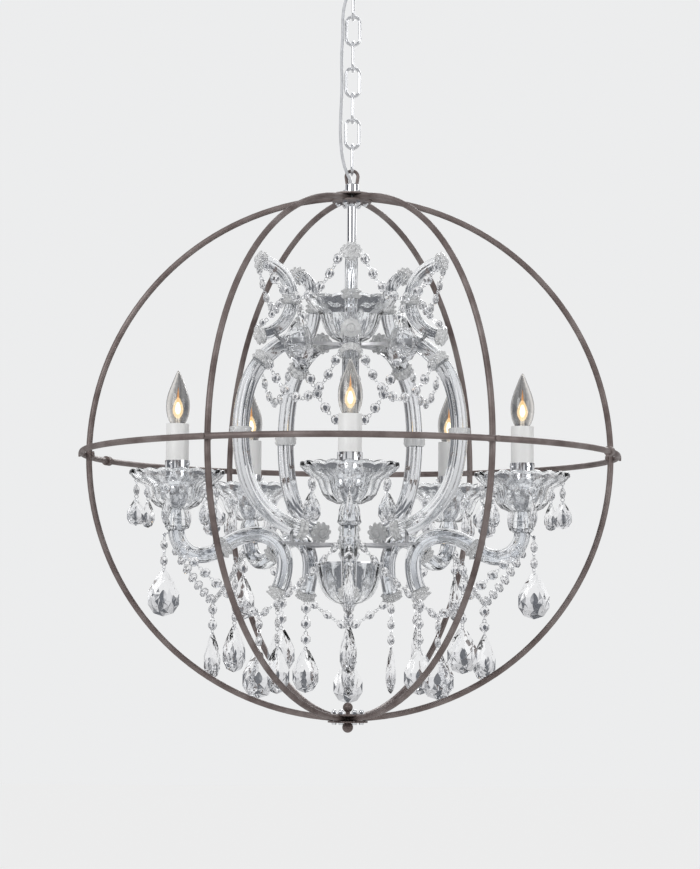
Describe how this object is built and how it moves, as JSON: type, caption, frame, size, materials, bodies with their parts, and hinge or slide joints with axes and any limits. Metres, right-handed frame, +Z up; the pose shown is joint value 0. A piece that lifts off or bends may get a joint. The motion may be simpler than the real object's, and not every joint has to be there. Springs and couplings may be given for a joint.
{
  "type": "orb chandelier",
  "caption": "Orb cage of bent round bar around a crystal candle chandelier with glass arms, bowls and drops, hung by a chain from a ceiling canopy.",
  "frame": {"origin": "on the ceiling at the canopy's centre, between the two box screws", "axes": "+Z up, -Y towards the front arm, +X to the viewer's right"},
  "size_m": [0.724, 0.72, 1.0591],
  "materials": {
    "chrome": "polished",
    "bronze_paint": "satin, rubbed bronze",
    "steel": "zinc plated",
    "crystal": "clear cut glass",
    "bulb_glass": "clear, lit",
    "candle_white": "white sleeve",
    "socket_plastic": "moulded",
    "cord_jacket": "silver, clear jacket",
    "lead_jacket": "white insulation"
  },
  "bodies": {
    "canopy": {"ceiling_canopy": "chrome", "mounting_strap": "steel", "canopy_fasteners": "steel", "canopy_nipple": "steel", "canopy_loop": "chrome"},
    "chain": {"chain_links": "chrome", "supply_cord": "cord_jacket"},
    "fixture": {"cage_loop": "bronze_paint", "stem_cap": "chrome", "hub_plates": "bronze_paint", "cage_bolts": "chrome", "meridian_hoop_1": "bronze_paint", "meridian_hoop_2": "bronze_paint", "meridian_hoop_3": "bronze_paint", "meridian_hoop_4": "bronze_paint", "meridian_hoop_5": "bronze_paint", "meridian_hoop_6": "bronze_paint", "equator_hoop_1": "bronze_paint", "equator_hoop_2": "bronze_paint", "equator_collars": "bronze_paint", "bottom_finial": "bronze_paint", "centre_pipe": "steel", "stem_tube": "chrome", "top_bowl": "crystal", "glass_column": "crystal", "upper_spider": "steel", "arm_hub": "steel", "bowl_lid": "chrome", "bottom_bowl": "crystal", "bowl_nut": "chrome", "lyre_1": "crystal", "lyre_2": "crystal", "lyre_3": "crystal", "lyre_4": "crystal", "lyre_5": "crystal", "arm_tube_1": "chrome", "arm_tube_2": "chrome", "arm_tube_3": "chrome", "arm_tube_4": "chrome", "arm_tube_5": "chrome", "horns": "crystal", "arm_glass": "crystal", "lamp_leads": "lead_jacket", "bobeches": "crystal", "candle_cups": "chrome", "lamp_sockets": "socket_plastic", "candle_sleeves": "candle_white", "rosettes": "crystal", "drop_hooks": "chrome", "crystal_strands": "crystal"},
    "bulb_1": {"bulb_1": "bulb_glass"},
    "arm_drop_1": {"arm_drop_1": "crystal"},
    "bulb_2": {"bulb_2": "bulb_glass"},
    "arm_drop_2": {"arm_drop_2": "crystal"},
    "bulb_3": {"bulb_3": "bulb_glass"},
    "arm_drop_3": {"arm_drop_3": "crystal"},
    "bulb_4": {"bulb_4": "bulb_glass"},
    "arm_drop_4": {"arm_drop_4": "crystal"},
    "bulb_5": {"bulb_5": "bulb_glass"},
    "arm_drop_5": {"arm_drop_5": "crystal"}
  },
  "joints": [
    {"name": "chain_swing", "type": "hinge", "parent": "canopy", "child": "chain", "pos_m": [0, 0, -0.0568], "axis": [1, 0, 0], "range_deg": [-7, 7]},
    {"name": "orb_swing", "type": "hinge", "parent": "chain", "child": "fixture", "pos_m": [0, 0, -0.3035], "axis": [0, 1, 0], "range_deg": [-7, 7]},
    {"name": "bulb_1_lift", "type": "slide", "parent": "fixture", "child": "bulb_1", "axis": [0, 0, 1], "range_m": [0, 0.03]},
    {"name": "arm_drop_1_swing", "type": "hinge", "parent": "fixture", "child": "arm_drop_1", "pos_m": [0, -0.253, -0.7942], "axis": [-1, 0, 0], "range_deg": [-3, 25]},
    {"name": "bulb_2_lift", "type": "slide", "parent": "fixture", "child": "bulb_2", "axis": [0, 0, 1], "range_m": [0, 0.03]},
    {"name": "arm_drop_2_swing", "type": "hinge", "parent": "fixture", "child": "arm_drop_2", "pos_m": [0.24062, -0.07818, -0.7942], "axis": [-0.309, -0.9511, 0], "range_deg": [-3, 25]},
    {"name": "bulb_3_lift", "type": "slide", "parent": "fixture", "child": "bulb_3", "axis": [0, 0, 1], "range_m": [0, 0.03]},
    {"name": "arm_drop_3_swing", "type": "hinge", "parent": "fixture", "child": "arm_drop_3", "pos_m": [0.14871, 0.20468, -0.7942], "axis": [0.809, -0.5878, 0], "range_deg": [-3, 25]},
    {"name": "bulb_4_lift", "type": "slide", "parent": "fixture", "child": "bulb_4", "axis": [0, 0, 1], "range_m": [0, 0.03]},
    {"name": "arm_drop_4_swing", "type": "hinge", "parent": "fixture", "child": "arm_drop_4", "pos_m": [-0.14871, 0.20468, -0.7942], "axis": [0.809, 0.5878, 0], "range_deg": [-3, 25]},
    {"name": "bulb_5_lift", "type": "slide", "parent": "fixture", "child": "bulb_5", "axis": [0, 0, 1], "range_m": [0, 0.03]},
    {"name": "arm_drop_5_swing", "type": "hinge", "parent": "fixture", "child": "arm_drop_5", "pos_m": [-0.24062, -0.07818, -0.7942], "axis": [-0.309, 0.9511, 0], "range_deg": [-3, 25]}
  ]
}
